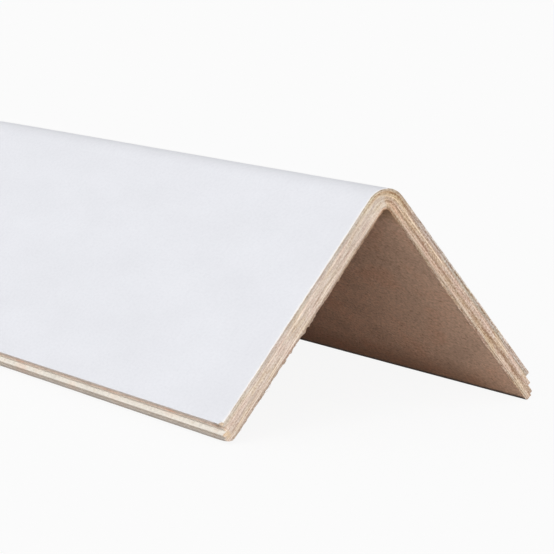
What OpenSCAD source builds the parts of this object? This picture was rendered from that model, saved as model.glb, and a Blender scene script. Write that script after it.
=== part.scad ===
// Laminated paperboard angle that guards the edges of a strapped pallet load.
// Four strips of board are glued face to face and folded together into a V,
// which stands on its two long edges: X runs across, Y along the fold, Z up.
// The strips are about equally wide, so the plies outside the bend fall short
// of the plies inside it, and the long edges come out as a row of steps.

/* [Board] */
// Length of the board along its fold
board_length = 300; // [60:10:2400]
// Width that the strips are slit to before folding, about twice a leg
strip_width = 100; // [70:1:200]

/* [Fold] */
// Angle between the legs, on the inside
leg_angle = 80.5; // [60:0.5:120]
// Radius on the inside of the fold
fold_radius = 1; // [0.5:0.1:6]

/* [Outer ply, white faced] */
// Thickness of the outer ply
outer_thickness = 1.05; // [0.4:0.05:2]
// How much the outer strip is slit wider than the rest
outer_slit = -0.7; // [-2:0.1:2]
// How far the outer strip is laid off the fold, towards +X
outer_lay = -0.95; // [-2:0.05:2]

/* [Second ply, brown] */
// Thickness of the second ply
second_thickness = 0.65; // [0.4:0.05:2]
// How much the second strip is slit wider than the rest
second_slit = -0.2; // [-2:0.1:2]
// How far the second strip is laid off the fold, towards +X
second_lay = -0.3; // [-2:0.05:2]

/* [Third ply, cream] */
// Thickness of the third ply
third_thickness = 0.65; // [0.4:0.05:2]
// How much the third strip is slit wider than the rest
third_slit = 0.9; // [-2:0.1:2]
// How far the third strip is laid off the fold, towards +X
third_lay = 0.1; // [-2:0.05:2]

/* [Inner ply, kraft brown] */
// Thickness of the inner ply
inner_thickness = 1.35; // [0.4:0.05:2]
// How much the inner strip is slit wider than the rest; its feet stay level
inner_slit = 0.2; // [-2:0.1:2]

/* [Hidden] */
$fn = 128;

// The plies from the outside in
thickness = [outer_thickness, second_thickness, third_thickness, inner_thickness];
slit = [outer_slit, second_slit, third_slit, inner_slit];
lay = [outer_lay, second_lay, third_lay, 0];
plies = [for (k = [0 : len(thickness) - 1]) k];

// The two legs, by the sign of X
sides = [-1, 1];
lean = leg_angle / 2;
bend_angle = 180 - leg_angle;
// Part of the bend that each side draws, so that the two lap over in the middle
bend_share = bend_angle * 0.7;

// Radii of a ply in the bend, counted up from the inside of the fold
function inside_radius(k) = k == len(thickness) - 1 ? fold_radius : outside_radius(k + 1);
function outside_radius(k) = inside_radius(k) + thickness[k];
function bend_length(k) = PI * bend_angle / 180 * (inside_radius(k) + outside_radius(k)) / 2;

// Straight part of a ply's leg: what the bend leaves of the strip, shared by two
function leg_length(k, side) = (strip_width + slit[k] - bend_length(k)) / 2 + side * lay[k];

// Place of a leg's foot, seen from the centre of the bend
function foot_drop(k, side) = leg_length(k, side) * cos(lean) - inside_radius(k) * sin(lean);
function foot_reach(k, side) = leg_length(k, side) * sin(lean) + outside_radius(k) * cos(lean);
function widest(side) = max([for (k = plies) foot_reach(k, side)]);

// The lowest foot stands at Z 0, and X 0 is midway between the widest feet
fold_height = max([for (k = plies, side = sides) foot_drop(k, side)]);
fold_x = (widest(-1) - widest(1)) / 2;

// One side of a ply, with its leg along X: the straight leg, square cut at its
// foot, and the part of the bend that runs on from it past the middle of the fold
module side_profile(k, side) {
    run = leg_length(k, side);
    reach = 2 * outside_radius(k);
    translate([side < 0 ? -run : 0, inside_radius(k)])
        square([run, thickness[k]]);
    intersection() {
        difference() {
            circle(outside_radius(k));
            circle(inside_radius(k));
        }
        polygon([
            [0, 0],
            [0, reach],
            [-side * reach * tan(bend_share / 2), reach],
            [-side * reach * sin(bend_share), reach * cos(bend_share)],
        ]);
    }
}

module ply(k) {
    translate([fold_x, 0, fold_height])
        rotate([90, 0, 0])
            linear_extrude(board_length, center = true)
                for (side = sides)
                    rotate(side * (lean - 90))
                        side_profile(k, side);
}

module outer_ply() {
    color("#ebecf1")
        ply(0);
}

module second_ply() {
    color("#c6ad97")
        ply(1);
}

module third_ply() {
    color("#e8e1d6")
        ply(2);
}

module inner_ply() {
    color("#8d7462")
        ply(3);
}

outer_ply();
second_ply();
third_ply();
inner_ply();
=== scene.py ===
"""Dresses a laminated paperboard edge board: four glued plies, stepped feet and loose fibres."""

import math

import bpy
import numpy as np
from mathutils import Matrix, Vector


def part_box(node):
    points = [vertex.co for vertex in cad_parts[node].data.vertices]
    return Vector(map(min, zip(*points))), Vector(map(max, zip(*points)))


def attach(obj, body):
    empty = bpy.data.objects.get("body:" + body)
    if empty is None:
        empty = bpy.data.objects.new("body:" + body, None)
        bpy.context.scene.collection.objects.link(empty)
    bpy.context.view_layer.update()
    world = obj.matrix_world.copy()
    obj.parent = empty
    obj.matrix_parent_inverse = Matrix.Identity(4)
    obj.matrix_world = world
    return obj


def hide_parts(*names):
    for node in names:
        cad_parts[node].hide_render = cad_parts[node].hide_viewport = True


bl_info = {
    "name": "Edge Board",
    "version": (1, 0, 0),
    "blender": (4, 5, 0),
    "location": "View3D > Sidebar > Edge Board",
    "description": "Builds the plies of a laminated edge board around its packed solids",
    "category": "Mesh",
}

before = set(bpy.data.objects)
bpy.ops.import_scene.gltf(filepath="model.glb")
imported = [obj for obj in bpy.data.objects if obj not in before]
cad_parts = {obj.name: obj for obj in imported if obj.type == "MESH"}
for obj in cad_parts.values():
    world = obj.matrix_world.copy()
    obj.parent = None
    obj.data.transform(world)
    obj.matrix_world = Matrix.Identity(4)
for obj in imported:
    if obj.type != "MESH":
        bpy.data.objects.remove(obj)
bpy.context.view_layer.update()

MM = 0.001
PLIES = ("outer_ply", "second_ply", "third_ply", "inner_ply")
# Into how many layers the mesh divides each ply's cut
CUT_LINES = {"outer_ply": 8, "second_ply": 5, "third_ply": 5, "inner_ply": 12}
# Lines of the rounded inside edge, as shares of its radius from the kraft face
RIM_LINES = (1.0, 0.7, 0.42, 0.2, 0.07)
# How far each ply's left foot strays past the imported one, in mm
LEFT_STRAY = {"outer_ply": 0.02, "second_ply": 0.0, "third_ply": 0.18, "inner_ply": -0.08}
# Places across the sheet, in mm, up to which the white paper's edge shows in the cut, and rolls over
PAPER_SEEN, PAPER_ROLLED = 0.0, 1.0
# Distances from a foot, in mm, at which the mesh is closest
TOE_STATIONS = (0.0, 0.1, 0.22, 0.36, 0.55, 0.8, 1.1, 1.4)
# Distances from an end, in mm, of the closely divided rows, and the gap to the first wide one
END_ROWS = (0.0, 0.12, 0.28, 0.5, 0.8, 1.2, 1.8, 2.6)
ROW_GAP = 1.2
# Spacing of the mesh in mm: across the strip at the ends, and along the board between them
CLOSE_STEP = 0.28
LONG_STEP = 1.5
# One in how many of the places across the strip runs along the whole board, on the legs and in the bend
LEG_KEPT = 7
BEND_KEPT = 2
# Sharpest angle, in degrees, that is still shaded smooth
SMOOTH_ANGLE = 38
# How far off, in mm, a packed point of the end, a packed point of a face and the fold's top may lie
END_SLACK, FACE_SLACK, FOLD_SLACK = 0.01, 0.003, 0.1

# Rounding of the plies' long edges in mm, and the share of the left toe's wear that the right one has
EDGE_ROUND = 0.03
RIGHT_TOE = 0.4
# Largest share of a ply's thickness that its toe is rounded
TOE_SHARE = 0.95
# How far the worn corner is crushed, and how much wear the other corners have, in mm
CRUSHED_CORNER = 0.45
OTHER_CORNERS = 0.05
# Distances from an end, in mm, over which the worn corner, the fraying and the paper's roll fade
CORNER_FADE, FRAY_FADE, ROLL_FADE = 1.3, 0.9, 0.3
# Distances from a foot, in mm, over which its straying and the crushed corner fade
STRAY_FADE, CRUSH_FADE = 2.0, 0.6
# Share of the outer ply's thickness that the torn corner goes down
TEAR_SHARE = 0.4
# Share of the fraying that shows on the outer ply, at the left foot and on the right leg
FRAY_OUTSIDE, FRAY_FOOT, FRAY_RIGHT = 0.06, 0.25, 0.3
# Distance from the left foot, in mm, at which the fraying is full
FRAY_RUN = 25.0
# Where the burr starts on the right leg and the swelling on the left, and how far on they are full, in mm
BURR_START, BURR_RUN = 4.0, 12.0
SWELL_START, SWELL_RUN = 12.0, 6.0
# Distance from a foot, in mm, at which the burr and the swelling are full
LIP_RUN = 1.5
# How deep below the kraft face the burr and the fraying reach, in mm
BURR_DEPTH = 0.3
FRAY_DEPTH = 0.7
# How bare the foot's edge is, from 0 to 1, where it counts as torn
TORN_THROUGH = 0.6
# Moves the far end's unevenness along, in mm, so that the two ends differ
FAR_CUT, FAR_FRAY = 400.0, 300.0

PLAIN = (1.0, 1.0, 1.0)

# Lightness of the glued sheets in the cut, by their place from the white face to the kraft one
CUT_LAYERS = (
    (0.0, 1.12), (0.06, 0.99), (0.1, 0.92), (0.17, 0.89), (0.25, 0.9), (0.31, 0.97), (0.35, 0.96),
    (0.42, 0.88), (0.5, 0.93), (0.61, 0.86), (0.7, 0.88), (0.78, 0.94), (0.86, 0.91), (1.0, 0.86),
)
# Further shade of the sheets in the leg whose cut is browner
SAWN_LAYERS = (
    (0.08, 1.1), (0.16, 0.97), (0.26, 0.98), (0.35, 1.06), (0.48, 1.03), (0.57, 0.87), (0.62, 0.94),
    (0.67, 1.08), (0.72, 1.14), (0.78, 0.84), (0.83, 0.95), (0.89, 0.74), (0.95, 0.95),
)
# Tint of the same leg, greyer outside and warmer inside
SAWN_TINTS = (
    (0.08, (1.01, 1.02, 1.06)), (0.24, (1.03, 1.0, 0.99)), (0.36, (1.01, 1.01, 1.05)),
    (0.58, (1.04, 0.98, 0.92)), (0.85, (1.01, 0.99, 0.97)),
)
# Shade of the sheets where they bend over the fold
FOLD_LAYERS = (
    (0.0, (0.8, 0.83, 0.84)), (0.06, (0.82, 0.86, 0.86)), (0.09, (0.9, 0.95, 0.92)),
    (0.12, (1.16, 1.24, 1.18)), (0.16, (1.2, 1.28, 1.2)), (0.21, (1.08, 1.12, 1.06)),
    (0.27, (1.0, 1.03, 1.0)), (0.46, (0.96, 0.97, 1.0)), (0.6, (1.1, 1.12, 1.12)),
    (0.66, (1.14, 1.16, 1.14)), (0.8, (1.04, 1.05, 1.03)), (0.88, (1.06, 1.06, 1.03)),
    (0.93, (1.45, 1.38, 1.3)),
)
# Shade of the browner leg's outer edge, in its upper half
EDGE_LAYERS = (
    (0.0, (0.76, 0.77, 0.77)), (0.05, (0.85, 0.86, 0.86)), (0.1, (0.97, 0.98, 0.98)),
    (0.13, PLAIN),
)
# Tint of the sheets next to the white paper, on the legs and over the fold
GREY_SHEETS = ((0.0, (0.9, 0.96, 1.0)), (0.18, (0.92, 0.97, 1.0)), (0.26, PLAIN))
WARM_SHEETS = ((0.0, (0.96, 0.96, 0.93)), (0.26, (0.99, 0.98, 0.94)), (0.4, PLAIN))
# Tint of pinker and yellower stretches in the cut, by a noise
STRETCHES = ((0.35, (1.0, 0.95, 0.95)), (0.5, PLAIN), (0.65, (1.0, 0.98, 0.91)))
# Glue lines, which show as broken pale streaks in the cut
GLUE_LINES = (
    (0.0, 0.0), (0.31, 0.0), (0.325, 0.9), (0.345, 0.9), (0.36, 0.0), (0.755, 0.0), (0.77, 1.0),
    (0.785, 1.0), (0.8, 0.0), (0.83, 0.0), (0.845, 0.8), (0.86, 0.8), (0.875, 0.0),
)
# Where the cut turns browner across the sheet, in mm, by the place from the white face to the kraft one
BROWN_TURN = ((0.24, -5.5, 1.0), (0.34, -0.7, 0.0), (0.6, -0.7, 0.0), (0.72, -0.3, 0.5))

# Shade of the browner leg's cut near the fold, of the paler leg's cut, and of that one's foot
SAWN_FOLD = (0.92, 0.87, 0.81)
PALE_LEG = (0.965, 0.93, 0.91)
PALE_FOOT = (1.08, 1.085, 1.09)
# Shade of the kraft's edge in the cut, its own darker colour with painted shade on the paler leg: paler leg
# and its foot, browner leg near the fold and its burr
RIM_PALE_PAINTED_SHADE, RIM_FOOT = (0.66, 0.56, 0.48), (0.84, 0.83, 0.81)
RIM_FOLD, RIM_BURR = (0.75, 0.72, 0.68), (1.1, 1.08, 1.08)
# Painted shade of the kraft face in the crease, and painted light that makes it paler further in
KRAFT_CREASE_PAINTED_SHADE = (0.52, 0.5, 0.4)
KRAFT_PAINTED_LIGHT_INSIDE = (1.58, 1.52, 1.5)
# Painted shade above the kraft's foot: shade, start and full shade in mm above the foot, and the same from
# an end
KRAFT_PAINTED_SHADE_ABOVE_FOOT = (
    ((0.65, 0.61, 0.58), 13.0, 2.0, 13.0, 32.0),
    ((0.62, 0.54, 0.48), 7.0, 1.0, 0.0, 14.0),
)
# Shade of the painted shadow beside the torn corner
SHADOW_SPOT_SHADE = (0.7, 0.67, 0.63)

# Share of the loose fibres that are on the kraft side, and how far they keep from the feet in mm
FIBRES_INSIDE = 0.72
FIBRES_CLEAR = 0.6

# Half the floor's width in m, how far it lies below the board in mm, and how much of it glows white
FLOOR_REACH = 8.0
FLOOR_BELOW = 0.05
FLOOR_GLOW = 0.91
# Soft lamps: name, colour group's strength, width in degrees, direction of the lamp
LAMPS = (
    ("soft_lamp", "lamp", 40, (-0.72, -0.30, 0.62)),
    ("low_fill", "fill", 45, (-0.55, -0.80, 0.14)),
)
# Camera: place in m, tilt down and turn in degrees, lens and sensor in mm
CAMERA_PLACE = (-0.26078, -0.50207, 0.09610)
CAMERA_TILT = 9.137
CAMERA_TURN = -34.083
CAMERA_LENS = 166.22
CAMERA_SENSOR = 36.0

# Material slots of a ply, and the parts of its flat map
FACE, CUT, BACK, SLIT = range(4)
OUTER, RIGHT, INNER, LEFT, ENDS = range(5)
# Heights of the bands in a ply's flat map: outer face, right foot, inner face, left foot and, in
# halves, the near and the far end
MAP_BANDS = {
    "outer_ply": (0.66, 0.04, 0.03, 0.04, 0.04, 0.04, 0.04, 0.04),
    "second_ply": (0.2, 0.1, 0.03, 0.1, 0.12, 0.12, 0.12, 0.12),
    "third_ply": (0.2, 0.1, 0.03, 0.1, 0.12, 0.12, 0.12, 0.12),
    "inner_ply": (0.1, 0.06, 0.5, 0.06, 0.055, 0.055, 0.055, 0.055),
}
# Gap round the bands
MAP_GAP = 0.004
# What the map stretches, in mm, and its share of the map: next to an end, and at a covered foot
MAP_END = (3.0, 0.04)
MAP_FOOT = (2.0, 0.45)


def tone(red, green, blue):
    """Linear colour of a paint tone that is given in display values from 0 to 255."""
    return tuple(
        v / 12.92 if v <= 0.04045 else ((v + 0.055) / 1.055) ** 2.4
        for v in (red / 255, green / 255, blue / 255)
    )


def colour(name, description, red, green, blue):
    """Property for a colour, from display values."""
    return bpy.props.FloatVectorProperty(
        name=name, description=description, subtype="COLOR", size=3,
        min=0.0, max=1.0, default=tone(red, green, blue))


def length(name, description, millimetres):
    """Property for a length, from millimetres."""
    return bpy.props.FloatProperty(
        name=name, description=description, unit="LENGTH", subtype="DISTANCE",
        min=0.0, precision=5, default=millimetres * MM)


def strength(name, description, default):
    """Property for the strength of a light."""
    return bpy.props.FloatProperty(name=name, description=description, default=default, min=0.0)


class EdgeBoardSizes(bpy.types.PropertyGroup):
    """Wear and cut of the board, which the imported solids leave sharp."""

    paper: length("White paper", "Thickness of the white paper on the outer ply", 0.07)
    paper_roll: length("Paper roll", "How far the white paper rolls over at the cut ends", 0.05)
    cut_depth: length("Cut depth", "How far the cut ends lie back on average", 0.14)
    cut_relief: length("Cut relief", "Height of the ridges that the saw leaves in the ends", 0.09)
    rim: length("Kraft rim", "Rounding of the inside edge of the cut ends", 0.08)
    rag: length("Ragged edge", "How far the cut ends' edges are frayed", 0.4)
    burr: length("Burr", "How far the saw's burr stands out inside the right leg", 0.3)
    swell: length("Swollen edge", "How far the inside edge of the left leg's cut is pushed out", 0.18)
    foot_wander: length("Foot wander", "How far the slit edges stray from a straight line", 0.03)
    toe_wear: length("Toe wear", "Rounding of the edge that the board stands on", 0.45)
    corner_wear: length("Corner wear", "Extra rounding of the worn corner of the left foot", 0.7)
    tear_run: length("Tear length", "Length of the torn corner along the left foot", 1.25)
    tear_rise: length("Tear height", "Height of the torn corner up the left leg", 0.55)
    wave: length("Face wave", "How uneven the outside and inside faces lie", 0.03)
    fibre: length("Fibre thickness", "Thickness of a loose fibre", 0.08)
    fibre_reach: length("Fibre length", "Usual length of a loose fibre", 0.4)
    fibres: bpy.props.IntProperty(
        name="Fibres", description="Number of loose fibres on each end's edges", default=700, min=0)


class EdgeBoardColours(bpy.types.PropertyGroup):
    """Colours of the papers and of the light."""

    white_paper: colour("White paper", "Outside face", 235, 236, 241)
    # Whiter fibres at the paper's cut edge, lightened further as a painted highlight
    paper_edge_and_highlight: colour("Paper edge", "Bare fibres at the white paper's cut edge", 248, 245, 243)
    brown_liner: colour("Brown liner", "Step of the second ply", 209, 190, 174)
    cream_liner: colour("Cream liner", "Step of the third ply", 241, 235, 225)
    grey_liner: colour("Grey liner", "Step of the inner ply", 186, 176, 166)
    kraft_liner: colour("Kraft liner", "Inside face", 198, 165, 142)
    slit_tan: colour("Slit edge, tan", "Long edges of the outer and the second ply", 214, 203, 193)
    slit_cream: colour("Slit edge, cream", "Long edges of the third ply", 222, 212, 198)
    slit_grey: colour("Slit edge, grey", "Long edges of the inner ply", 201, 191, 182)
    cut_light: colour("Cut, light", "Light fibres of the cut board", 255, 244, 232)
    cut_dark: colour("Cut, dark", "Dark fibres of the cut board", 190, 162, 140)
    glue: colour("Glue line", "Pale streaks between the sheets", 255, 240, 222)
    dab: colour("Glue dab", "Yellowed glue on the near end of the left foot", 250, 217, 168)
    torn: colour("Torn board", "Board that shows where the white paper is torn", 224, 202, 178)
    floor: colour("Floor", "Plain floor", 228, 228, 228)
    daylight: strength("Daylight", "Strength of the light from all round", 0.565)
    lamp: strength("Lamp", "Strength of the soft lamp at the upper left", 0.8)
    fill: strength("Fill", "Strength of the low soft lamp in front", 1.35)


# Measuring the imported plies


def measured_ply(node):
    """Section of a packed ply in millimetres: fold centre, radii, lean of the legs and their lengths."""
    low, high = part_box(node)
    points = np.array([v.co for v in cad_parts[node].data.vertices]) / MM
    end = points[points[:, 1] < low.y / MM + END_SLACK][:, [0, 2]]
    middle = (low.x + high.x) / 2 / MM
    legs, tangents = {}, {}
    for side in (-1, 1):
        half = end[side * (end[:, 0] - middle) > 0]
        toe = half[np.argmin(half[:, 1])]
        heel = half[np.argmax(side * half[:, 0])]
        thickness = np.linalg.norm(heel - toe)
        outward = (heel - toe) / thickness
        down = np.array([side * outward[1], -side * outward[0]])
        face = half[np.abs((half - heel) @ outward) < FACE_SLACK]
        legs[side] = np.max((heel - face) @ down)
        tangents[side] = heel - down * legs[side]
    sine, cosine = abs(outward[1]), abs(outward[0])
    outside = (tangents[1][0] - tangents[-1][0]) / (2 * cosine)
    fold_z = tangents[1][1] - outside * sine
    if abs(fold_z + outside - high.z / MM) > FOLD_SLACK:
        raise ValueError(f"{node}: the measured fold doesn't agree with the packed one")
    turn = math.atan2(cosine, sine)
    middle_radius = outside - thickness / 2
    return {
        "node": node,
        "x": (tangents[1][0] + tangents[-1][0]) / 2,
        "z": fold_z,
        "outside": outside,
        "thickness": thickness,
        "sine": sine,
        "cosine": cosine,
        "turn": turn,
        "middle_radius": middle_radius,
        "half_bend": middle_radius * turn,
        "legs": legs,
        "half_length": high.y / MM,
    }


SECTIONS = {node: measured_ply(node) for node in PLIES}
FIRST, LAST = SECTIONS["outer_ply"], SECTIONS["inner_ply"]
BOARD_HALF = FIRST["half_length"]
BOARD_OUTSIDE = FIRST["outside"]
BOARD_THICKNESS = sum(s["thickness"] for s in SECTIONS.values())
BOARD_MIDDLE = BOARD_OUTSIDE - BOARD_THICKNESS / 2
# Place of the kraft's feet across the sheet
KRAFT_FOOT = LAST["legs"][1] + LAST["turn"] * BOARD_MIDDLE
# Middle of a dab of glue: across the sheet, along the board and below the white face
GLUE_DAB = (1.05 - KRAFT_FOOT, -BOARD_HALF, 2.0)
# Middle of a painted shadow under the white paper, beside its torn corner
PAINTED_SHADOW_SPOT = (-FIRST["legs"][-1] - FIRST["turn"] * BOARD_MIDDLE, 2.1 - BOARD_HALF, 1.0)
# Grain of the slit edges, which is finer through the sheet
SLIT_GRAIN = (1.0, 0.8, 6.0)
# What is its own in each plain paper
LINERS = {
    "brown_liner": {"contrast": 0.28, "height": 0.02, "warmth": 0.35, "shadow_spot": PAINTED_SHADOW_SPOT},
    "cream_liner": {"contrast": 0.15, "height": 0.02, "warmth": 0.16},
    "grey_liner": {"contrast": 0.22, "height": 0.02},
    "kraft_liner": {"contrast": 0.45, "height": 0.06, "grain": (1.9, 1.1, 1.9), "foot": KRAFT_FOOT},
    "slit_tan": {"contrast": 0.26, "height": 0.05, "grain": SLIT_GRAIN, "shadow_spot": PAINTED_SHADOW_SPOT},
    "slit_cream": {"contrast": 0.2, "height": 0.05, "grain": SLIT_GRAIN},
    "slit_grey": {"contrast": 0.28, "height": 0.05, "grain": SLIT_GRAIN},
}


def on_section(ply, across, radius):
    """Point of the section at a place across the strip, at a distance from the fold centre."""
    side = np.sign(across)
    run = np.maximum(np.abs(across) - ply["half_bend"], 0.0)
    angle = np.clip(across / ply["middle_radius"], -ply["turn"], ply["turn"])
    x = ply["x"] + radius * np.sin(angle) + side * run * ply["sine"]
    z = ply["z"] + radius * np.cos(angle) - run * ply["cosine"]
    sheet = side * run + angle * BOARD_MIDDLE
    return x, z, sheet


# Unevenness, the same on each run


def drift(x, y, seed):
    """Smooth noise from -1 to 1 over two coordinates."""
    columns, rows = 251, 241
    grid = np.random.default_rng(seed).uniform(-1.0, 1.0, (columns, rows))
    column, row = np.floor(x).astype(int), np.floor(y).astype(int)
    fx, fy = x - column, y - row
    fx, fy = fx * fx * (3 - 2 * fx), fy * fy * (3 - 2 * fy)

    def corner(i, j):
        return grid[(column + i) % columns, (row + j) % rows]

    low = corner(0, 0) * (1 - fx) + corner(1, 0) * fx
    high = corner(0, 1) * (1 - fx) + corner(1, 1) * fx
    return low * (1 - fy) + high * fy


def faded(distance, reach):
    """1 at no distance, falling to 0 at the reach."""
    return np.clip(1 - distance / reach, 0, 1)


def grown(distance, reach):
    """0 at no distance, rising to 1 at the reach."""
    return np.clip(distance / reach, 0, 1)


def rounded(a, b, radius):
    """Pulls points near a corner, at distances a and b from its two faces, onto a round of that radius."""
    va, vb = a - radius, b - radius
    inside = (va < 0) & (vb < 0)
    reach = np.hypot(va, vb)
    share = np.where(inside, np.maximum(-va, -vb) / np.maximum(reach, 1e-9), 1.0)
    return radius + va * share, radius + vb * share


def cut_recess(sheet, depth, far, sizes):
    """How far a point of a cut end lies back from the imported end, in mm."""
    shift = np.where(far, FAR_CUT, 0.0)
    relief = sizes.cut_relief / MM
    rough = relief * np.where(sheet > 0, 1.0, 0.75)
    ridges = 0.6 * drift((sheet + shift) / 5.0, depth / 0.26, 11)
    fibres = 0.5 * drift((sheet + shift) / 1.3, depth / 0.22, 12)
    sweep = 0.3 * drift((sheet + shift) / 14.0, depth / 1.6, 13)
    recess = np.maximum(sizes.cut_depth / MM + rough * (ridges + fibres + sweep), 0.01)
    radius = sizes.rim / MM * (1 + 0.35 * drift((sheet + shift) / 0.7, depth * 0.0, 14))
    inset = np.clip(radius - (BOARD_THICKNESS - depth), 0.0, radius)
    return recess + radius - np.sqrt(radius * radius - inset * inset)


def shaped(ply, across, depth, along, sizes):
    """Places a ply's vertices: across the strip, below its outer face and along the board, all in mm."""
    node = ply["node"]
    first, last = ply is FIRST, ply is LAST
    thickness = ply["thickness"]
    above = BOARD_OUTSIDE - ply["outside"]
    side = np.where(across < 0, -1, 1)
    leg = np.where(side < 0, ply["legs"][-1], ply["legs"][1])
    foot = ply["half_bend"] + leg
    from_foot = foot - np.abs(across)
    from_end = ply["half_length"] - np.abs(along)
    far = along > 0
    worn = (side < 0) & ~far

    # Edges of the foot
    toe = np.full_like(depth, EDGE_ROUND)
    if last:
        toe = sizes.toe_wear / MM * np.where(side < 0, 1.0, RIGHT_TOE)
        toe = toe + np.where(worn, sizes.corner_wear / MM, OTHER_CORNERS) * np.exp(-from_end / CORNER_FADE)
    toe = np.minimum(toe, TOE_SHARE * thickness)
    from_foot, below = rounded(from_foot, thickness - depth, toe)
    depth = thickness - below
    from_foot, depth = rounded(from_foot, depth, np.full_like(depth, EDGE_ROUND))
    seed = 20 + 2 * PLIES.index(node)
    slit = 0.6 * drift(along / 9.0, side * 7.0, seed) + 0.4 * drift(along / 2.3, side * 7.0, seed + 1)
    stray = sizes.foot_wander / MM * np.abs(slit) - np.where(side < 0, LEFT_STRAY[node], 0.0)
    from_foot = from_foot + stray * faded(from_foot, STRAY_FADE)

    # Torn corner of the white face
    bare = np.zeros_like(depth)
    if first:
        reach = np.hypot(from_foot / (sizes.tear_rise / MM), from_end / (sizes.tear_run / MM))
        ragged = reach + 0.18 * drift(from_end / 0.5, from_foot / 0.3, 30)
        bare = np.where(worn, np.clip(3.0 * (1.0 - ragged), 0, 1), 0.0)
        depth = depth + (thickness - depth) * TEAR_SHARE * bare

    # Frayed edges of the cut ends, with the saw's burr inside the right leg and a swelling inside the left
    beside = side * (foot - from_foot) + np.where(far, FAR_FRAY, 0.0)
    frayed = 0.5 * drift(beside / 0.38, side * 3.0, 31) + 0.5 * drift(beside / 1.1, side * 3.0, 32)
    fade = faded(from_end, FRAY_FADE)
    if first:
        pulled = FRAY_OUTSIDE * sizes.rag / MM * np.abs(frayed) * fade
        rolled = sizes.paper_roll / MM * faded(from_end, ROLL_FADE) ** 2 * faded(across, PAPER_ROLLED)
        depth = depth + (pulled + rolled) * (1 - depth / thickness)
    if last:
        right = grown(across - BURR_START, BURR_RUN) * grown(from_foot, LIP_RUN)
        left = grown(-across - SWELL_START, SWELL_RUN) * grown(from_foot, LIP_RUN)
        standing = sizes.burr / MM * np.clip(0.62 + 0.5 * frayed, 0, 1)
        calm = np.where(across < 0, np.clip(from_foot / FRAY_RUN, FRAY_FOOT, 1.0), FRAY_RIGHT)
        torn = sizes.rag / MM * np.clip(frayed, -0.12, 1.0) * calm + sizes.swell / MM * left
        inward = thickness - depth
        lip = standing * right * faded(inward, BURR_DEPTH) + torn * (1 - right) * faded(inward, FRAY_DEPTH)
        depth = depth + lip * fade

    # Faces that lie a little uneven
    position = side * (foot - from_foot)
    sheet = on_section(ply, position, ply["outside"] - depth)[2]
    uneven = 0.7 * drift(sheet / 17.0, along / 26.0, 41) + 0.3 * drift(sheet / 5.0, along / 8.0, 42)
    if first:
        depth = depth + sizes.wave / MM * (1 + uneven) * (1 - depth / thickness)
    if last:
        depth = depth - sizes.wave / MM * (1 + uneven) * depth / thickness

    x, z, sheet = on_section(ply, position, ply["outside"] - depth)
    recess = cut_recess(sheet, above + depth, far, sizes)
    crushed = np.where(worn, CRUSHED_CORNER, OTHER_CORNERS)
    crushed = crushed * np.exp(-np.maximum(from_foot, 0) / CRUSH_FADE)
    recess = (recess + crushed) * faded(from_end, END_ROWS[-1])
    y = along - np.sign(along) * recess
    return np.stack([x, y, z], 1), np.stack([sheet, along, above + depth], 1), bare


# Building a ply's mesh


def strip_stations(ply):
    """Places across the strip from foot to foot, and which of them run along the whole board."""
    places, kept = {}, {}
    for side in (-1, 1):
        leg = ply["legs"][side]
        count = math.ceil((leg - TOE_STATIONS[-1]) / CLOSE_STEP)
        from_foot = list(TOE_STATIONS) + list(np.linspace(TOE_STATIONS[-1], leg, count + 1)[1:])
        places[side] = ply["half_bend"] + leg - np.array(from_foot)
        kept[side] = [i < len(TOE_STATIONS) or (len(from_foot) - 1 - i) % LEG_KEPT == 0
                      for i in range(len(from_foot))]
    count = 2 * math.ceil(ply["half_bend"] / CLOSE_STEP)
    bend = np.linspace(-ply["half_bend"], ply["half_bend"], count + 1)[1:-1]
    bend_kept = [(i + 1) % BEND_KEPT == 0 for i in range(len(bend))]
    across = np.concatenate([-places[-1], bend, places[1][::-1]])
    return across, np.array(kept[-1] + bend_kept + kept[1][::-1])


def joined_rows(low, high, kept, fine_first):
    """Faces between a closely divided row and a widely divided one, as fans of triangles."""
    faces = []
    stops = [i for i, keep in enumerate(kept) if keep]
    count = len(kept)
    for a, b in zip(stops, stops[1:] + [stops[0] + count]):
        close, wide = (low, high) if fine_first else (high, low)
        half = (a + b) // 2
        left, right = wide[a], wide[b % count]
        fans = [(close[j % count], close[(j + 1) % count], left if j < half else right)
                for j in range(a, b)]
        fans.append((left, close[half % count], right))
        faces += [(a, f if fine_first else f[::-1]) for f in fans]
    return faces


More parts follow.
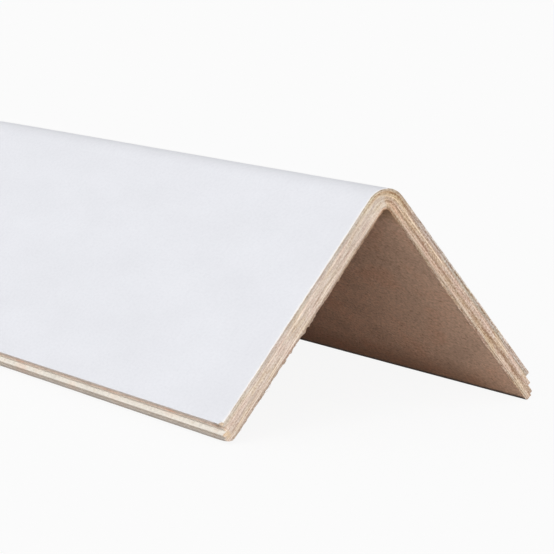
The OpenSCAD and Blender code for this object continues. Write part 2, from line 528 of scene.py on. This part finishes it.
def ply_mesh(node, sizes):
    """Closed mesh of a ply: long faces, feet and two cut ends, with each vertex's place in the sheet."""
    ply = SECTIONS[node]
    thickness, half = ply["thickness"], ply["half_length"]
    across, kept = strip_stations(ply)
    lines = CUT_LINES[node]
    depths = np.linspace(0.0, thickness, lines + 1)
    if ply is FIRST:
        depths = np.concatenate([[0.0], np.linspace(sizes.paper / MM, thickness, lines)])
    if ply is LAST:
        rim = thickness - sizes.rim / MM * np.array(RIM_LINES)
        depths = np.concatenate([np.linspace(0.0, rim[0], lines + 1 - len(rim)), rim[1:], [thickness]])
    count = len(across)
    inner = list(range(1, lines))

    # Once round the section, and what each stretch is: outer face, right foot, inner face, left foot
    walk = [(i, 0) for i in range(count)] + [(count - 1, j) for j in inner]
    walk += [(i, lines) for i in reversed(range(count))] + [(0, j) for j in reversed(inner)]
    walk_kept = [kept[i] or j in inner for i, j in walk]
    regions = [FACE] * (count - 1) + [SLIT] * lines + [BACK] * (count - 1) + [SLIT] * lines
    if ply is FIRST:
        regions[count - 1] = regions[-1] = FACE
    parts = [OUTER] * (count - 1) + [RIGHT] * lines + [INNER] * (count - 1) + [LEFT] * lines

    # Rows of vertices along the board, close to each other at its ends
    middle_count = 2 * round((half - END_ROWS[-1] - LONG_STEP) / LONG_STEP)
    reach = half - END_ROWS[-1] - ROW_GAP
    rows = [(-half + r, True) for r in END_ROWS]
    rows += [(y, False) for y in np.linspace(-reach, reach, middle_count + 1)]
    rows += [(half - r, True) for r in reversed(END_ROWS)]

    places, ids = [], []
    for y, close in rows:
        row = np.full(len(walk), -1)
        for n, (i, j) in enumerate(walk):
            if close or walk_kept[n]:
                row[n] = len(places)
                places.append((across[i], depths[j], y))
        ids.append(row)

    faces, slots, bands = [], [], []

    def add_face(face, slot, band):
        faces.append(tuple(int(v) for v in face))
        slots.append(slot)
        bands.append(band)

    spaced = [(row, close) for row, (_, close) in zip(ids, rows)]
    for (low, low_close), (high, high_close) in zip(spaced, spaced[1:]):
        if low_close != high_close:
            for n, face in joined_rows(low, high, walk_kept, low_close):
                add_face(face, regions[n], parts[n])
            continue
        stops = [n for n in range(len(walk)) if low_close or walk_kept[n]]
        for a, b in zip(stops, stops[1:] + stops[:1]):
            add_face((low[a], low[b], high[b], high[a]), regions[a], parts[a])

    # Cut ends
    for row, y, near in ((ids[0], -half, True), (ids[-1], half, False)):
        grid = np.full((count, lines + 1), -1)
        for n, (i, j) in enumerate(walk):
            grid[i, j] = row[n]
        for i in range(1, count - 1):
            for j in inner:
                grid[i, j] = len(places)
                places.append((across[i], depths[j], y))
        for i in range(count - 1):
            for j in range(lines):
                face = (grid[i, j], grid[i, j + 1], grid[i + 1, j + 1], grid[i + 1, j])
                on_paper = j == 0 and ply is FIRST and across[i] < PAPER_SEEN
                band = ENDS + (0 if near else 2) + (0 if i < count // 2 else 1)
                add_face(face if near else face[::-1], FACE if on_paper else CUT, band)

    placed = np.array(places)
    points, sheet, bare = shaped(ply, placed[:, 0], placed[:, 1], placed[:, 2], sizes)
    # The torn corner runs on over the edge of the foot
    slots = [
        FACE if slot == SLIT and min(bare[list(face)]) > TORN_THROUGH else slot
        for slot, face in zip(slots, faces)]
    return board_mesh(node, points, faces, slots, sheet, bare, flat_map(ply, placed, faces, bands))


def stretched(place, low, high, reach, share):
    """Spreads a range over 0 to 1, with a share of its own for what is within reach of either end."""
    return np.interp(place, (low, low + reach, high - reach, high), (0.0, share, 1.0 - share, 1.0))


def flat_map(ply, placed, faces, bands):
    """Lays a ply's faces out flat, in bands one above the other, so that its surface can be baked."""
    across, depth, along = placed.T
    left, right, half = across.min(), across.max(), ply["half_length"]
    middle = np.unique(across)[len(np.unique(across)) // 2]
    lengthways = stretched(along, -half, half, *MAP_END)
    sideways = (across - left) / (right - left)
    # Only the steps at the feet show of the faces that another ply lies on
    stepped = stretched(across, left, right, *MAP_FOOT)
    through = depth / ply["thickness"]
    halves = [np.interp(across, (left, middle), (0.0, 1.0)), np.interp(across, (middle, right), (0.0, 1.0))]
    layout = [
        (lengthways, sideways if ply is FIRST else stepped), (lengthways, through),
        (lengthways, sideways), (lengthways, through),
        (halves[0], through), (halves[1], through), (halves[0], through), (halves[1], through),
    ]
    flat = np.empty((len(layout), len(placed), 2))
    start = MAP_GAP
    for number, ((u, v), height) in enumerate(zip(layout, MAP_BANDS[ply["node"]])):
        flat[number, :, 0] = MAP_GAP + (1 - 2 * MAP_GAP) * u
        flat[number, :, 1] = start + height * v
        start += height + MAP_GAP
    corners = [vertex for face in faces for vertex in face]
    return flat[np.repeat(bands, [len(face) for face in faces]), corners]


def board_mesh(name, points, faces, slots, sheet, bare, flat=None):
    """Mesh from points in mm, with the sheet's own coordinates and its bare places kept for the papers."""
    mesh = bpy.data.meshes.new(name)
    mesh.from_pydata((points * MM).tolist(), [], faces)
    if flat is not None:
        mesh.uv_layers.new(name="OFBake").uv.foreach_set("vector", flat.astype(np.float32).ravel())
    mesh.polygons.foreach_set("material_index", np.array(slots, np.int32))
    grain = mesh.attributes.new("sheet", "FLOAT_VECTOR", "POINT")
    grain.data.foreach_set("vector", sheet.astype(np.float32).ravel())
    torn = mesh.attributes.new("bare", "FLOAT", "POINT")
    torn.data.foreach_set("value", bare.astype(np.float32))
    mesh.shade_smooth()
    mesh.set_sharp_from_angle(angle=math.radians(SMOOTH_ANGLE))
    mesh.validate()
    mesh.update()
    return mesh


def add_piece(name, mesh, materials):
    """Adds a mesh as a piece of the board, with its materials."""
    for material in materials:
        mesh.materials.append(material)
    piece = bpy.data.objects.new(name, mesh)
    bpy.context.scene.collection.objects.link(piece)
    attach(piece, "root")
    return piece


# Papers


def set_inputs(tree, node, inputs):
    """Sets a node's inputs to values, or links them to sockets."""
    for key, value in inputs.items():
        if isinstance(value, bpy.types.NodeSocket):
            tree.links.new(value, node.inputs[key])
        else:
            node.inputs[key].default_value = value


def add_node(tree, kind, inputs=None, **settings):
    """New shader node with its settings, and its inputs set or linked."""
    made = tree.nodes.new("ShaderNode" + kind)
    for key, value in settings.items():
        setattr(made, key, value)
    set_inputs(tree, made, inputs or {})
    return made


def new_paper(name):
    """Material with its shader, and the vector of the sheet's own coordinates in mm."""
    material = bpy.data.materials.new(name)
    material.use_nodes = True
    tree = material.node_tree
    shader = tree.nodes["Principled BSDF"]
    sheet = add_node(tree, "Attribute", attribute_name="sheet").outputs["Vector"]
    return material, tree, shader, sheet


def noise(tree, sheet, scale, detail=3.0, roughness=0.55):
    """Noise over the sheet, with a number of grains per mm across, along and through it."""
    scaled = add_node(tree, "VectorMath", {0: sheet, 1: scale}, operation="MULTIPLY").outputs[0]
    return add_node(tree, "TexNoise", {
        "Vector": scaled, "Scale": 1.0, "Detail": detail, "Roughness": roughness}).outputs[0]


def ramp(tree, factor, stops):
    """Colours along a factor, from pairs of place and linear colour."""
    made = add_node(tree, "ValToRGB", {0: factor})
    elements = made.color_ramp.elements
    while len(elements) < len(stops):
        elements.new(0.5)
    for element, (place, shade) in zip(elements, stops):
        element.position = place
        element.color = (*shade, 1.0)
    return made.outputs[0]


def greys(stops):
    """Stops of a ramp from pairs of place and lightness."""
    return [(place, (value, value, value)) for place, value in stops]


def mixed(tree, factor, a, b, blend="MIX"):
    """Mix of two colours, each a socket or three values, by the factor's share of the second."""
    a, b = [c if isinstance(c, bpy.types.NodeSocket) else (*c, 1.0) for c in (a, b)]
    return add_node(tree, "Mix", {0: factor, 6: a, 7: b}, data_type="RGBA", blend_type=blend).outputs[2]


def shaded(tree, drawn, by, factor=1.0):
    """A colour times another, as far as the factor says."""
    return mixed(tree, factor, drawn, by, "MULTIPLY")


def shade(base, factor):
    """A colour made lighter or darker, but no lighter than white."""
    return tuple(min(c * factor, 1.0) for c in base)


def worked(tree, operation, *values):
    """Result of a Math node on values or sockets."""
    return add_node(tree, "Math", dict(enumerate(values)), operation=operation).outputs[0]


def summed(tree, a, b, share):
    """A value with a share of another added."""
    return worked(tree, "MULTIPLY_ADD", b, share, a)


def ranged(tree, value, start=0.0, stop=1.0, low=0.0, high=1.0):
    """Maps a value between start and stop onto low to high, and no further."""
    return add_node(tree, "MapRange", {0: value, 1: start, 2: stop, 3: low, 4: high}).outputs[0]


def graded(tree, value, low, high):
    """Stretches a noise, which keeps mostly to 0.3 to 0.7, over a range."""
    return ranged(tree, value, 0.3, 0.7, low, high)


def parted(tree, sheet):
    """Places across the sheet, along it and below the white face."""
    return add_node(tree, "SeparateXYZ", {0: sheet}).outputs[:]


def away(tree, sheet, mark, stretch):
    """Distance from a mark, with a weight for each of the sheet's directions."""
    off = add_node(tree, "VectorMath", {0: sheet, 1: mark}, operation="SUBTRACT").outputs[0]
    off = add_node(tree, "VectorMath", {0: off, 1: stretch}, operation="MULTIPLY").outputs[0]
    return add_node(tree, "VectorMath", {0: off}, operation="LENGTH").outputs["Value"]


def finish_paper(tree, shader, drawn, roughness, shine, relief, height):
    """Gives a paper its colour, roughness, shine and a relief with a height in mm."""
    bump = add_node(tree, "Bump", {"Strength": 1.0, "Distance": height * MM, "Height": relief})
    set_inputs(tree, shader, {
        "Base Color": drawn, "Roughness": roughness, "Specular IOR Level": shine,
        "Normal": bump.outputs[0]})


def white_paper(colours):
    """Smooth white paper: faint clouds, fine tooth and the lie of the glued sheet below it."""
    material, tree, shader, sheet = new_paper("white_paper")
    base = tuple(colours.white_paper)
    clouds = noise(tree, sheet, (0.12, 0.05, 0.3))
    tooth = noise(tree, sheet, (2.2, 1.2, 2.0), detail=4.0)
    white = ramp(tree, clouds, [(0.3, shade(base, 0.975)), (0.7, shade(base, 1.012))])
    white = shaded(tree, white, ramp(tree, tooth, [(0.25, (0.955, 0.955, 0.96)), (0.6, PLAIN)]))
    # Bare, whiter fibres along the cut ends, lightened further as a painted highlight
    along = worked(tree, "ABSOLUTE", parted(tree, sheet)[1])
    strayed = summed(tree, along, noise(tree, sheet, (0.8, 0.8, 0.8)), 0.9)
    frayed = ranged(tree, strayed, BOARD_HALF + 0.05, BOARD_HALF + 0.45)
    white = mixed(tree, frayed, white, colours.paper_edge_and_highlight)
    # Board that shows in the torn corner
    bare = add_node(tree, "Attribute", attribute_name="bare").outputs["Fac"]
    scraps = noise(tree, sheet, (2.5, 2.5, 2.5))
    torn = ranged(tree, summed(tree, bare, scraps, 0.6), 0.5, 0.8)
    board = ramp(tree, scraps, [(0.35, shade(colours.torn, 0.66)), (0.6, shade(colours.torn, 1.1))])
    lie = noise(tree, sheet, (0.35, 0.22, 0.3))
    finish_paper(tree, shader, mixed(tree, torn, white, board), graded(tree, tooth, 0.72, 0.88), 0.12,
                 summed(tree, tooth, lie, 2.0), 0.012)
    return material


def liner(name, base, contrast, height, grain=(2.4, 1.3, 2.4), warmth=0.1, foot=None, shadow_spot=None):
    """Uncoated paper: fibres drawn out along the board, clouds and flecks."""
    material, tree, shader, sheet = new_paper(name)
    fibres = noise(tree, sheet, grain, detail=5.0, roughness=0.65)
    clouds = noise(tree, sheet, (0.16, 0.1, 0.2))
    flecks = noise(tree, sheet, (2.0, 1.2, 2.0), detail=2.0)
    drawn = ramp(tree, fibres, [
        (0.25, shade(base, 1 - contrast)), (0.5, base), (0.78, shade(base, 1 + contrast))])
    dim = 1 - 0.35 * contrast
    drawn = shaded(tree, drawn, ramp(tree, clouds, [
        (0.3, (dim, dim, dim)), (0.52, PLAIN), (0.68, (1.0, 1 - 0.7 * warmth, 1 - warmth))]))
    dark = shade((1.0, 0.96, 0.92), 1 - 0.75 * contrast)
    drawn = shaded(tree, drawn, ramp(tree, flecks, [(0.24, dark), (0.42, PLAIN)]))
    # Painted light and shade on the kraft face
    if foot:
        drawn = kraft_painted_light_and_shade(tree, drawn, sheet, flecks, foot, shade(base, 0.07))
    # Painted shadow beside the torn corner
    if shadow_spot:
        near_shadow_spot = ranged(tree, away(tree, sheet, shadow_spot, (1.7, 0.65, 0.0)), 1.0, 0.3)
        drawn = shaded(tree, drawn, SHADOW_SPOT_SHADE, near_shadow_spot)
    finish_paper(tree, shader, drawn, graded(tree, fibres, 0.72, 0.92), 0.2,
                 summed(tree, fibres, flecks, 0.6), height)
    return material


def kraft_painted_light_and_shade(tree, drawn, sheet, flecks, foot, painted_contact_shadow):
    """Kraft with painted shade in the crease, painted light further in, painted shade above the foot and a
    painted contact shadow along it.
    """
    across, along = [worked(tree, "ABSOLUTE", part) for part in parted(tree, sheet)[:2]]
    strayed = summed(tree, across, flecks, 0.6)
    # Painted shade in the crease
    drawn = shaded(tree, drawn, KRAFT_CREASE_PAINTED_SHADE, ranged(tree, strayed, 6.5, 2.5))
    # Painted light, paler further in
    drawn = shaded(tree, drawn, KRAFT_PAINTED_LIGHT_INSIDE, ranged(tree, along, BOARD_HALF - 15.0, BOARD_HALF - 60.0))
    # Painted shade above the foot
    for painted_shade, start, full, end_start, end_full in KRAFT_PAINTED_SHADE_ABOVE_FOOT:
        above = ranged(tree, strayed, foot - start, foot - full)
        inside = ranged(tree, along, BOARD_HALF - end_start, BOARD_HALF - end_full)
        drawn = shaded(tree, drawn, painted_shade, worked(tree, "MULTIPLY", above, inside))
    # Painted contact shadow along the foot
    return mixed(tree, ranged(tree, strayed, foot - 0.7, foot - 0.2), drawn, painted_contact_shadow)


def browner_leg(tree, across, place):
    """0 where the cut is pale and 1 where it is browner, with a turn of its own in each sheet."""
    reach = 6.0
    turns = ramp(tree, place, [
        (at, (start / (2 * reach) + 0.5, stop / (2 * reach) + 0.5, 0.0)) for at, start, stop in BROWN_TURN])
    turns = add_node(tree, "SeparateColor", {0: turns}).outputs
    start, stop = [ranged(tree, turn, low=-reach, high=reach) for turn in turns[:2]]
    return ranged(tree, across, start, stop)


def cut_board(colours):
    """Sawn edge of the glued sheets: straight torn streaks along each sheet and broken pale glue lines."""
    material, tree, shader, sheet = new_paper("cut_board")
    across, _, below = parted(tree, sheet)
    from_fold = worked(tree, "ABSOLUTE", across)
    place = ranged(tree, below, 0.0, BOARD_THICKNESS)
    inner = ranged(tree, place, 0.24, 0.34)
    browner = browner_leg(tree, across, place)
    # Place from the white face to the kraft one, by which the sheets are told apart
    waver = noise(tree, sheet, (0.1, 0.1, 0.0), detail=2.0)
    depth = summed(tree, summed(tree, below, waver, 0.05), browner, -0.12)
    level = ranged(tree, depth, 0.025, BOARD_THICKNESS + 0.025)

    # Fibres along the sheets
    lines = noise(tree, sheet, (0.045, 0.045, 4.2), detail=2.0, roughness=0.6)
    streaks = noise(tree, sheet, (0.3, 0.3, 3.6), roughness=0.6)
    fuzz = noise(tree, sheet, (2.6, 2.6, 3.4), detail=2.0)
    torn = summed(tree, summed(tree, worked(tree, "MULTIPLY", streaks, 1.3), lines, 1.2), fuzz, 1.5)
    sawn = summed(tree, summed(tree, streaks, lines, 1.4), fuzz, 1.6)
    rough = add_node(tree, "Mix", {0: browner, 2: torn, 3: sawn}).outputs[0]
    rough = worked(tree, "MULTIPLY", rough, 0.4)
    contrast = ranged(tree, browner, low=ranged(tree, inner, low=2.2, high=2.6), high=2.95)
    fibre = worked(tree, "MULTIPLY_ADD", worked(tree, "SUBTRACT", rough, 0.8), contrast, 0.56)
    board = mixed(tree, fibre, colours.cut_dark, colours.cut_light)

    # Sheets, which are greyer next to the white paper and warmer there over the fold
    board = shaded(tree, board, ramp(tree, level, greys(CUT_LAYERS)))
    grey, warm = ramp(tree, level, GREY_SHEETS), ramp(tree, level, WARM_SHEETS)
    board = shaded(tree, board, mixed(tree, ranged(tree, from_fold, 3.5, 7.5), warm, grey))
    dashes = graded(tree, noise(tree, sheet, (0.14, 0.14, 1.0), detail=4.0, roughness=0.7), -0.4, 1.5)
    glued = worked(tree, "MULTIPLY", ramp(tree, level, greys(GLUE_LINES)), dashes)
    board = mixed(tree, glued, board, colours.glue)
    stretches = noise(tree, sheet, (0.2, 0.2, 0.9), detail=2.0)
    board = shaded(tree, board, ramp(tree, stretches, STRETCHES))

    # Deeper tones on the browner leg, with a dark outer edge in its upper half
    power = ranged(tree, browner, high=ranged(tree, inner, low=1.6, high=1.45), low=1.0)
    board = add_node(tree, "Gamma", {0: board, 1: power}).outputs[0]
    layers = shaded(tree, ramp(tree, level, greys(SAWN_LAYERS)), ramp(tree, level, SAWN_TINTS))
    layers = shaded(tree, layers, SAWN_FOLD, ranged(tree, across, 9.0, 4.0))
    board = shaded(tree, board, mixed(tree, browner, PALE_LEG, layers))
    upper = worked(tree, "MULTIPLY", ranged(tree, across, 34.0, 18.0), browner)
    board = shaded(tree, board, ramp(tree, level, EDGE_LAYERS), upper)

    # The other leg is paler towards its foot, and the bend has layers of its own
    paler = ranged(tree, across, -10.0, -32.0)
    board = shaded(tree, board, PALE_FOOT, paler)
    board = shaded(tree, board, ramp(tree, level, FOLD_LAYERS), ranged(tree, from_fold, 6.5, 3.0))

    # Dab of yellowed glue low on the left foot
    dab = summed(tree, away(tree, sheet, GLUE_DAB, (1.5, 0.3, 1.0)), fuzz, 0.9)
    yellowed = mixed(tree, 0.55, board, colours.dab)
    board = mixed(tree, ranged(tree, dab, 0.95, 1.6, 0.8, 0.0), board, yellowed)

    # Edge of the kraft, darker in its own colour and with painted shade on the paler leg
    burr = mixed(tree, ranged(tree, across, 12.0, 20.0), RIM_FOLD, RIM_BURR)
    rim = mixed(tree, browner, mixed(tree, paler, RIM_PALE_PAINTED_SHADE, RIM_FOOT), burr)
    board = shaded(tree, board, rim, ranged(tree, level, 0.89, 0.96))
    finish_paper(tree, shader, board, 0.9, 0.15, rough, 0.1)
    return material


def papers(scene):
    """The papers by name, made once."""
    colours = scene.edge_board_colours
    names = ("white_paper", "cut_board", *LINERS)
    if any(name not in bpy.data.materials for name in names):
        white_paper(colours)
        cut_board(colours)
        for name, settings in LINERS.items():
            liner(name, tuple(getattr(colours, name)), **settings)
    return {name: bpy.data.materials[name] for name in names}


# Loose fibres


def fibre_mesh(name, sizes):
    """Short torn fibres along the cut edges, each a closed tapered strand."""
    rng = np.random.default_rng(77)
    points, faces, sheets = [], [], []
    for far in (False, True):
        for _ in range(sizes.fibres):
            inside = rng.random() < FIBRES_INSIDE
            ply = LAST if inside else FIRST
            reach = {s: ply["half_bend"] + ply["legs"][s] - FIBRES_CLEAR for s in (-1, 1)}
            across = rng.uniform(-reach[-1], reach[1])
            depth = ply["thickness"] - rng.exponential(0.05) if inside else 0.15 + rng.exponential(0.1)
            span = sizes.fibre_reach / MM * rng.gamma(3.0, 1 / 3.0)
            lean = rng.normal(0.0, 0.25)
            way = rng.choice((-1.0, 1.0))
            lift = rng.uniform(0.05, 0.3)
            curl = rng.normal(0.0, 0.12)
            # From a root inside the board to a tip that stands a little out of its edge
            steps = np.linspace(-0.25, 1.0, 5)
            place = across + way * span * steps * math.cos(lean)
            outward = span * np.maximum(steps, -0.2) * (abs(lean) * 0.6 + curl * 0.3 * np.maximum(steps, 0))
            level = depth + (outward if inside else -outward)
            x, z, sheet = on_section(ply, place, ply["outside"] - level)
            back = 0.1 - lift * 0.3 * np.maximum(steps, 0) + 0.25 * np.maximum(-steps, 0)
            y = (BOARD_HALF - np.maximum(back, 0.02)) * (1 if far else -1)
            add_strand(points, faces, sheets, np.stack([x, y, z], 1), sizes.fibre / MM,
                       (sheet, y, BOARD_OUTSIDE - ply["outside"] + level))
    slots, bare = [0] * len(faces), np.zeros(len(points))
    return board_mesh(name, np.array(points), faces, slots, np.array(sheets), bare)


def add_strand(points, faces, sheets, path, thickness, sheet):
    """Adds a three-sided strand along a path, which thins towards its tip."""
    start = len(points)
    heading = np.gradient(path, axis=0)
    heading /= np.maximum(np.linalg.norm(heading, axis=1, keepdims=True), 1e-9)
    beside = np.cross(heading, (0.0, 1.0, 0.001))
    beside /= np.maximum(np.linalg.norm(beside, axis=1, keepdims=True), 1e-9)
    across = np.cross(heading, beside)
    for k in range(len(path)):
        radius = thickness / 2 * (1.0 - 0.6 * k / (len(path) - 1))
        for corner in range(3):
            turn = 2 * math.pi * corner / 3
            points.append(path[k] + radius * (math.cos(turn) * beside[k] + math.sin(turn) * across[k]))
            sheets.append([part[k] for part in sheet])
    for k in range(len(path) - 1):
        for corner in range(3):
            a, b = start + 3 * k + corner, start + 3 * k + (corner + 1) % 3
            faces.append((a, b, b + 3, a + 3))
    end = start + 3 * (len(path) - 1)
    faces.append((start + 2, start + 1, start))
    faces.append((end, end + 1, end + 2))


# Operators


def add_ply(scene, node, name, names):
    """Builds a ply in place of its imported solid, with its papers: face, cut, back and slit edge."""
    paper = papers(scene)
    mesh = ply_mesh(node, scene.edge_board_sizes)
    piece = add_piece(name, mesh, [paper[each] for each in names])
    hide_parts(node)


class EDGEBOARD_OT_outer_ply(bpy.types.Operator):
    """Builds the outer ply with its white paper face and the torn corner"""

    bl_idname = "edgeboard.outer_ply"
    bl_label = "Outer Ply"

    def execute(self, context):
        add_ply(context.scene, "outer_ply", "white_faced_ply",
                ("white_paper", "cut_board", "brown_liner", "slit_tan"))
        return {"FINISHED"}


class EDGEBOARD_OT_core_plies(bpy.types.Operator):
    """Builds the brown and the cream ply, whose steps show below the white face"""

    bl_idname = "edgeboard.core_plies"
    bl_label = "Core Plies"

    def execute(self, context):
        add_ply(context.scene, "second_ply", "brown_ply",
                ("brown_liner", "cut_board", "brown_liner", "slit_tan"))
        add_ply(context.scene, "third_ply", "cream_ply",
                ("cream_liner", "cut_board", "brown_liner", "slit_cream"))
        return {"FINISHED"}


class EDGEBOARD_OT_inner_ply(bpy.types.Operator):
    """Builds the inner ply with its kraft face and the edges that the board stands on"""

    bl_idname = "edgeboard.inner_ply"
    bl_label = "Inner Ply"

    def execute(self, context):
        add_ply(context.scene, "inner_ply", "kraft_ply",
                ("grey_liner", "cut_board", "kraft_liner", "slit_grey"))
        return {"FINISHED"}


class EDGEBOARD_OT_loose_fibres(bpy.types.Operator):
    """Adds the short fibres that stand out of the cut edges"""

    bl_idname = "edgeboard.loose_fibres"
    bl_label = "Loose Fibres"

    def execute(self, context):
        mesh = fibre_mesh("loose_fibres", context.scene.edge_board_sizes)
        add_piece("loose_fibres", mesh, [papers(context.scene)["cut_board"]])
        return {"FINISHED"}


class EDGEBOARD_OT_stage(bpy.types.Operator):
    """Sets the pale floor, the soft light and the camera"""

    bl_idname = "edgeboard.stage"
    bl_label = "Stage"

    def execute(self, context):
        scene = context.scene
        colours = scene.edge_board_colours
        add_floor(scene, colours)
        add_light(scene, colours)
        add_camera(scene)
        scene.view_settings.view_transform = "Standard"
        return {"FINISHED"}


def seen_directly(tree):
    """1 for what the camera sees, straight or by a mirror or glass, and 0 for light on its way."""
    path = add_node(tree, "LightPath").outputs
    straight = worked(tree, "MAXIMUM", path["Is Camera Ray"], path["Is Glossy Ray"])
    return worked(tree, "MAXIMUM", straight, path["Is Transmission Ray"])


def add_floor(scene, colours):
    """Wide pale floor that looks white and keeps the board's soft shadow."""
    mesh = bpy.data.meshes.new("floor")
    corners = [(x * FLOOR_REACH, y * FLOOR_REACH, 0.0) for x, y in ((-1, -1), (1, -1), (1, 1), (-1, 1))]
    mesh.from_pydata(corners, [], [(0, 1, 2, 3)])
    floor = bpy.data.objects.new("floor", mesh)
    floor.location.z = -FLOOR_BELOW * MM
    scene.collection.objects.link(floor)
    material = bpy.data.materials.new("pale_floor")
    material.use_nodes = True
    tree = material.node_tree
    tree.nodes.clear()
    matte = add_node(tree, "BsdfDiffuse", {"Color": (*colours.floor, 1.0)}).outputs[0]
    glow = add_node(tree, "Emission", {"Color": (*PLAIN, 1.0), "Strength": 1.0}).outputs[0]
    share = worked(tree, "MULTIPLY", seen_directly(tree), FLOOR_GLOW)
    both = add_node(tree, "MixShader", {0: share, 1: matte, 2: glow}).outputs[0]
    add_node(tree, "OutputMaterial", {"Surface": both})
    mesh.materials.append(material)


def add_light(scene, colours):
    """Even daylight from all round, a broad lamp at the upper left and a low one in front."""
    world = bpy.data.worlds.new("daylight")
    world.use_nodes = True
    tree = world.node_tree
    tree.nodes.clear()
    lit, white = [
        add_node(tree, "Background", {"Color": (*PLAIN, 1.0), "Strength": strength}).outputs[0]
        for strength in (colours.daylight, 1.0)]
    both = add_node(tree, "MixShader", {0: seen_directly(tree), 1: lit, 2: white}).outputs[0]
    add_node(tree, "OutputWorld", {"Surface": both})
    scene.world = world
    for name, strength, width, direction in LAMPS:
        lamp = bpy.data.lights.new(name, "SUN")
        lamp.energy = getattr(colours, strength)
        lamp.angle = math.radians(width)
        holder = bpy.data.objects.new(name, lamp)
        holder.rotation_euler = Vector(direction).to_track_quat("Z", "Y").to_euler()
        scene.collection.objects.link(holder)


def add_camera(scene):
    """Camera at the near left of the board, for a square frame."""
    camera = bpy.data.cameras.new("camera")
    camera.sensor_width = CAMERA_SENSOR
    camera.lens = CAMERA_LENS
    camera.clip_start = 0.01
    holder = bpy.data.objects.new("camera", camera)
    holder.location = CAMERA_PLACE
    holder.rotation_euler = (math.radians(90 - CAMERA_TILT), 0.0, math.radians(CAMERA_TURN))
    scene.collection.objects.link(holder)
    scene.camera = holder


class EDGEBOARD_PT_board(bpy.types.Panel):
    """Lists the pieces of the board with their sizes and colours"""

    bl_idname = "EDGEBOARD_PT_board"
    bl_label = "Edge Board"
    bl_space_type = "VIEW_3D"
    bl_region_type = "UI"
    bl_category = "Edge Board"

    def draw(self, context):
        for operator in OPERATORS:
            self.layout.operator(operator.bl_idname)
        for group in (context.scene.edge_board_sizes, context.scene.edge_board_colours):
            column = self.layout.column()
            for name in group.__annotations__:
                column.prop(group, name)


OPERATORS = (
    EDGEBOARD_OT_outer_ply,
    EDGEBOARD_OT_core_plies,
    EDGEBOARD_OT_inner_ply,
    EDGEBOARD_OT_loose_fibres,
    EDGEBOARD_OT_stage,
)
CLASSES = (EdgeBoardSizes, EdgeBoardColours, *OPERATORS, EDGEBOARD_PT_board)


def register():
    for each in CLASSES:
        bpy.utils.register_class(each)
    bpy.types.Scene.edge_board_sizes = bpy.props.PointerProperty(type=EdgeBoardSizes)
    bpy.types.Scene.edge_board_colours = bpy.props.PointerProperty(type=EdgeBoardColours)


def unregister():
    del bpy.types.Scene.edge_board_colours
    del bpy.types.Scene.edge_board_sizes
    for each in reversed(CLASSES):
        bpy.utils.unregister_class(each)


def main():
    """Registers the classes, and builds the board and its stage."""
    register()
    bpy.ops.edgeboard.outer_ply()
    bpy.ops.edgeboard.core_plies()
    bpy.ops.edgeboard.inner_ply()
    bpy.ops.edgeboard.loose_fibres()
    bpy.ops.edgeboard.stage()


if __name__ == "__main__":
    main()
